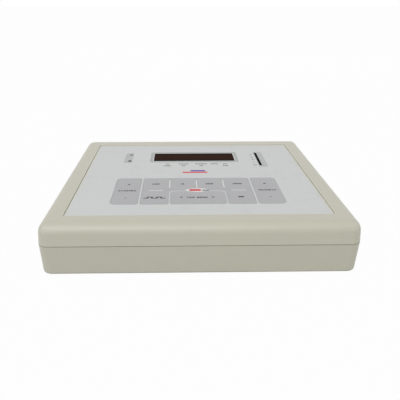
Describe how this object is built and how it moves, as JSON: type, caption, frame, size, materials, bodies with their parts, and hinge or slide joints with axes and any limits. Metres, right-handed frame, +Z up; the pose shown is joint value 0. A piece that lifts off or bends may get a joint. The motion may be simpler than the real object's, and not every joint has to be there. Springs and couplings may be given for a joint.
{
  "type": "audiometer",
  "caption": "Desktop hearing tester: low two-shell plastic case, recessed membrane key panel with dark display, level meter and rear sockets.",
  "frame": {"origin": "under the middle of the case, in the plane the feet rest on", "axes": "+X to the right seen from the front, +Y to the rear, +Z up"},
  "size_m": [0.2924, 0.2524, 0.0525],
  "materials": {
    "case_plastic": "fine moulded texture",
    "panel_film": "satin printed film",
    "key_film": "satin printed film",
    "dark_window": "polished, smoked",
    "foot_rubber": "matt",
    "zinc_steel": "zinc plated",
    "black_plastic": "moulded",
    "circuit_board": "solder resist",
    "black_metal": "satin black",
    "cell_glass": "polished",
    "light_block": "frosted",
    "meter_lens": "frosted, unlit",
    "grey_lens": "polished, unlit",
    "capsule_metal": "drawn",
    "chip_resin": "moulded",
    "relay_plastic": "moulded",
    "capacitor_sleeve": "shrunk sleeve",
    "ribbon_grey": "ribbed",
    "nickel": "nickel plated",
    "switch_black": "satin",
    "lead_red": "soft sleeve"
  },
  "bodies": {
    "root": {"lower_case": "case_plastic", "upper_case": "case_plastic", "front_panel": "panel_film", "display_window": "dark_window", "meter_window": "dark_window", "rubber_feet": "foot_rubber", "case_screws": "zinc_steel", "board_screws": "zinc_steel", "switch_housings": "black_plastic", "key_board": "circuit_board", "lcd_board": "circuit_board", "main_board": "circuit_board", "lcd_frame": "black_metal", "lcd_glass": "cell_glass", "lcd_backlight": "light_block", "meter_lights": "meter_lens", "indicator_light": "grey_lens", "microphone": "capsule_metal", "processor_chip": "chip_resin", "audio_chips": "chip_resin", "output_relays": "relay_plastic", "capacitors": "capacitor_sleeve", "voltage_regulator": "chip_resin", "ribbon_cable": "ribbon_grey", "ribbon_plugs": "black_plastic", "jack_nuts": "nickel", "power_inlet": "black_plastic", "power_switch_frame": "switch_black", "switch_leads": "lead_red", "left_phone_jack": "black_plastic", "right_phone_jack": "black_plastic", "bone_phone_jack": "black_plastic", "response_jack": "black_plastic"},
    "key_function_1": {"key_function_1": "key_film", "plunger_function_1": "black_plastic"},
    "key_function_2": {"key_function_2": "key_film", "plunger_function_2": "black_plastic"},
    "key_function_3": {"key_function_3": "key_film", "plunger_function_3": "black_plastic"},
    "key_function_4": {"key_function_4": "key_film", "plunger_function_4": "black_plastic"},
    "key_interrupt": {"key_interrupt": "key_film", "plunger_interrupt": "black_plastic"},
    "key_tone": {"key_tone": "key_film", "plunger_tone": "black_plastic"},
    "key_frequency_down": {"key_frequency_down": "key_film", "plunger_frequency_down": "black_plastic"},
    "key_frequency_up": {"key_frequency_up": "key_film", "plunger_frequency_up": "black_plastic"},
    "key_level_down": {"key_level_down": "key_film", "plunger_level_down": "black_plastic"},
    "key_level_up": {"key_level_up": "key_film", "plunger_level_up": "black_plastic"},
    "key_masking_down": {"key_masking_down": "key_film", "plunger_masking_down": "black_plastic"},
    "key_masking_up": {"key_masking_up": "key_film", "plunger_masking_up": "black_plastic"},
    "power_rocker": {"power_rocker": "switch_black"}
  },
  "joints": [
    {"name": "press_function_1", "type": "slide", "parent": "root", "child": "key_function_1", "axis": [0, 0, -1], "range_m": [0, 0.0004], "stiffness_N_per_m": 2000, "springref_m": -0.0002},
    {"name": "press_function_2", "type": "slide", "parent": "root", "child": "key_function_2", "axis": [0, 0, -1], "range_m": [0, 0.0004], "stiffness_N_per_m": 2000, "springref_m": -0.0002},
    {"name": "press_function_3", "type": "slide", "parent": "root", "child": "key_function_3", "axis": [0, 0, -1], "range_m": [0, 0.0004], "stiffness_N_per_m": 2000, "springref_m": -0.0002},
    {"name": "press_function_4", "type": "slide", "parent": "root", "child": "key_function_4", "axis": [0, 0, -1], "range_m": [0, 0.0004], "stiffness_N_per_m": 2000, "springref_m": -0.0002},
    {"name": "press_interrupt", "type": "slide", "parent": "root", "child": "key_interrupt", "axis": [0, 0, -1], "range_m": [0, 0.0004], "stiffness_N_per_m": 2000, "springref_m": -0.0002},
    {"name": "press_tone", "type": "slide", "parent": "root", "child": "key_tone", "axis": [0, 0, -1], "range_m": [0, 0.0004], "stiffness_N_per_m": 2000, "springref_m": -0.0002},
    {"name": "press_frequency_down", "type": "slide", "parent": "root", "child": "key_frequency_down", "axis": [0, 0, -1], "range_m": [0, 0.0004], "stiffness_N_per_m": 2000, "springref_m": -0.0002},
    {"name": "press_frequency_up", "type": "slide", "parent": "root", "child": "key_frequency_up", "axis": [0, 0, -1], "range_m": [0, 0.0004], "stiffness_N_per_m": 2000, "springref_m": -0.0002},
    {"name": "press_level_down", "type": "slide", "parent": "root", "child": "key_level_down", "axis": [0, 0, -1], "range_m": [0, 0.0004], "stiffness_N_per_m": 2000, "springref_m": -0.0002},
    {"name": "press_level_up", "type": "slide", "parent": "root", "child": "key_level_up", "axis": [0, 0, -1], "range_m": [0, 0.0004], "stiffness_N_per_m": 2000, "springref_m": -0.0002},
    {"name": "press_masking_down", "type": "slide", "parent": "root", "child": "key_masking_down", "axis": [0, 0, -1], "range_m": [0, 0.0004], "stiffness_N_per_m": 2000, "springref_m": -0.0002},
    {"name": "press_masking_up", "type": "slide", "parent": "root", "child": "key_masking_up", "axis": [0, 0, -1], "range_m": [0, 0.0004], "stiffness_N_per_m": 2000, "springref_m": -0.0002},
    {"name": "rocker_tilt", "type": "hinge", "parent": "root", "child": "power_rocker", "pos_m": [-0.09, 0.119, 0.0186], "axis": [0, 0, 1], "range_deg": [0, 20]}
  ]
}
